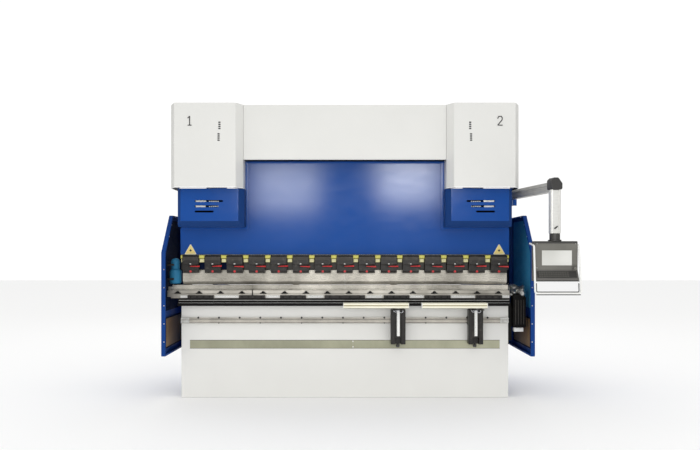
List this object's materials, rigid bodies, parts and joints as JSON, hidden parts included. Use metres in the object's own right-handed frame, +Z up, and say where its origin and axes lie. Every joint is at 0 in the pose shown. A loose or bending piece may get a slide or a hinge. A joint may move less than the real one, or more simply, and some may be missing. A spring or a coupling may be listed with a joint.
{
  "type": "press brake",
  "caption": "Hydraulic press brake: upright ram with segmented punch clamps over a V die, swing-out front sheet supports, side guards and a pendant control on a boom.",
  "frame": {"origin": "middle of the bed plate's bottom face, on the floor, below the bending line", "axes": "+X along the bed to the operator's right, +Y from the operator to the back of the machine, +Z up"},
  "size_m": [3.824, 2.085, 2.833],
  "materials": {
    "blue_paint": "smooth satin blue enamel",
    "white_paint": "off-white powder coat",
    "black_steel": "black-oxide steel, lightly worn",
    "tool_steel": "ground tool steel",
    "chrome_rod": "hard chrome",
    "aluminium": "anodised extrusion",
    "cylinder_grey": "dark grey machinery paint",
    "pendant_grey": "textured dark grey"
  },
  "bodies": {
    "frame": {"side_frame_left": "blue_paint", "side_frame_right": "blue_paint", "bed_plate": "white_paint", "die_table": "black_steel", "die": "tool_steel", "top_panel": "white_paint", "cylinder_cover_left": "white_paint", "cylinder_cover_right": "white_paint", "rod_cover_left": "blue_paint", "rod_cover_right": "blue_paint", "cylinder_left": "cylinder_grey", "cylinder_right": "cylinder_grey", "ram_guide_left": "tool_steel", "ram_guide_right": "tool_steel", "oil_tank": "blue_paint", "pump_motor": "cylinder_grey", "support_rail": "tool_steel", "gauge_rail_left": "tool_steel", "gauge_rail_right": "tool_steel", "pendant_bracket": "cylinder_grey", "electrical_cabinet": "blue_paint"},
    "ram": {"ram": "blue_paint", "piston_rod_left": "chrome_rod", "piston_rod_right": "chrome_rod", "clamp_bar": "black_steel", "punch_left": "tool_steel", "punch_right": "tool_steel", "punch_clamp_01": "black_steel", "punch_clamp_02": "black_steel", "punch_clamp_03": "black_steel", "punch_clamp_04": "black_steel", "punch_clamp_05": "black_steel", "punch_clamp_06": "black_steel", "punch_clamp_07": "black_steel", "punch_clamp_08": "black_steel", "punch_clamp_09": "black_steel", "punch_clamp_10": "black_steel", "punch_clamp_11": "black_steel", "punch_clamp_12": "black_steel", "punch_clamp_13": "black_steel", "punch_clamp_14": "black_steel", "punch_clamp_15": "black_steel"},
    "gauge": {"gauge_beam": "aluminium"},
    "finger_left": {"gauge_finger_left": "tool_steel"},
    "finger_right": {"gauge_finger_right": "tool_steel"},
    "boom": {"pendant_boom": "aluminium", "drop_tube": "aluminium"},
    "pendant": {"pendant_case": "pendant_grey"},
    "start_button": {"start_button": "pendant_grey"},
    "guard_left": {"guard_left": "blue_paint"},
    "guard_right": {"guard_right": "blue_paint"},
    "cabinet_door": {"cabinet_door": "blue_paint"},
    "arm_carriage_1": {"arm_bracket_1": "black_steel"},
    "arm_lift_1": {"arm_slider_1": "tool_steel"},
    "arm_1": {"support_arm_1": "aluminium"},
    "knob_1": {"lock_knob_1": "pendant_grey"},
    "arm_carriage_2": {"arm_bracket_2": "black_steel"},
    "arm_lift_2": {"arm_slider_2": "tool_steel"},
    "arm_2": {"support_arm_2": "aluminium"},
    "knob_2": {"lock_knob_2": "pendant_grey"}
  },
  "joints": [
    {"name": "ram_stroke", "type": "slide", "parent": "frame", "child": "ram", "axis": [0, 0, 1], "range_m": [0, 0.2]},
    {"name": "gauge_travel", "type": "slide", "parent": "frame", "child": "gauge", "axis": [0, 1, 0], "range_m": [-0.03, 0.5]},
    {"name": "finger_left_slide", "type": "slide", "parent": "gauge", "child": "finger_left", "axis": [1, 0, 0], "range_m": [-0.4, 0.4]},
    {"name": "finger_right_slide", "type": "slide", "parent": "gauge", "child": "finger_right", "axis": [1, 0, 0], "range_m": [-0.4, 0.4]},
    {"name": "boom_swing", "type": "hinge", "parent": "frame", "child": "boom", "pos_m": [1.7, 0.22, 2], "axis": [0, 0, 1], "range_deg": [-8, 45]},
    {"name": "pendant_swivel", "type": "hinge", "parent": "boom", "child": "pendant", "pos_m": [1.86, -0.7, 1.588], "axis": [0, 0, 1], "range_deg": [-90, 90]},
    {"name": "start_press", "type": "slide", "parent": "pendant", "child": "start_button", "axis": [0, 1, 0], "range_m": [0, 0.004], "stiffness_N_per_m": 900},
    {"name": "guard_left_hinge", "type": "hinge", "parent": "frame", "child": "guard_left", "pos_m": [-1.755, 0.672, 1.1], "axis": [0, 0, -1], "range_deg": [0, 90]},
    {"name": "guard_right_hinge", "type": "hinge", "parent": "frame", "child": "guard_right", "pos_m": [1.817, 0.672, 1.1], "axis": [0, 0, 1], "range_deg": [0, 90]},
    {"name": "cabinet_hinge", "type": "hinge", "parent": "frame", "child": "cabinet_door", "pos_m": [1.721, 1.262, 1.3], "axis": [0, 0, 1], "range_deg": [0, 110]},
    {"name": "carriage_slide_1", "type": "slide", "parent": "frame", "child": "arm_carriage_1", "axis": [1, 0, 0], "range_m": [-1.6, 0.05]},
    {"name": "arm_height_1", "type": "slide", "parent": "arm_carriage_1", "child": "arm_lift_1", "axis": [0, 0, 1], "range_m": [0, 0.06]},
    {"name": "arm_swing_1", "type": "hinge", "parent": "arm_lift_1", "child": "arm_1", "pos_m": [0.515, -0.215, 0.9], "axis": [0, 0, 1], "range_deg": [0, 90]},
    {"name": "lock_turn_1", "type": "hinge", "parent": "arm_carriage_1", "child": "knob_1", "pos_m": [0.515, -0.09, 0.52], "axis": [0, 0, 1], "range_deg": [0, 180]},
    {"name": "carriage_slide_2", "type": "slide", "parent": "frame", "child": "arm_carriage_2", "axis": [1, 0, 0], "range_m": [-0.05, 0.25]},
    {"name": "arm_height_2", "type": "slide", "parent": "arm_carriage_2", "child": "arm_lift_2", "axis": [0, 0, 1], "range_m": [0, 0.06]},
    {"name": "arm_swing_2", "type": "hinge", "parent": "arm_lift_2", "child": "arm_2", "pos_m": [1.263, -0.215, 0.9], "axis": [0, 0, 1], "range_deg": [0, 90]},
    {"name": "lock_turn_2", "type": "hinge", "parent": "arm_carriage_2", "child": "knob_2", "pos_m": [1.263, -0.09, 0.52], "axis": [0, 0, 1], "range_deg": [0, 180]}
  ]
}
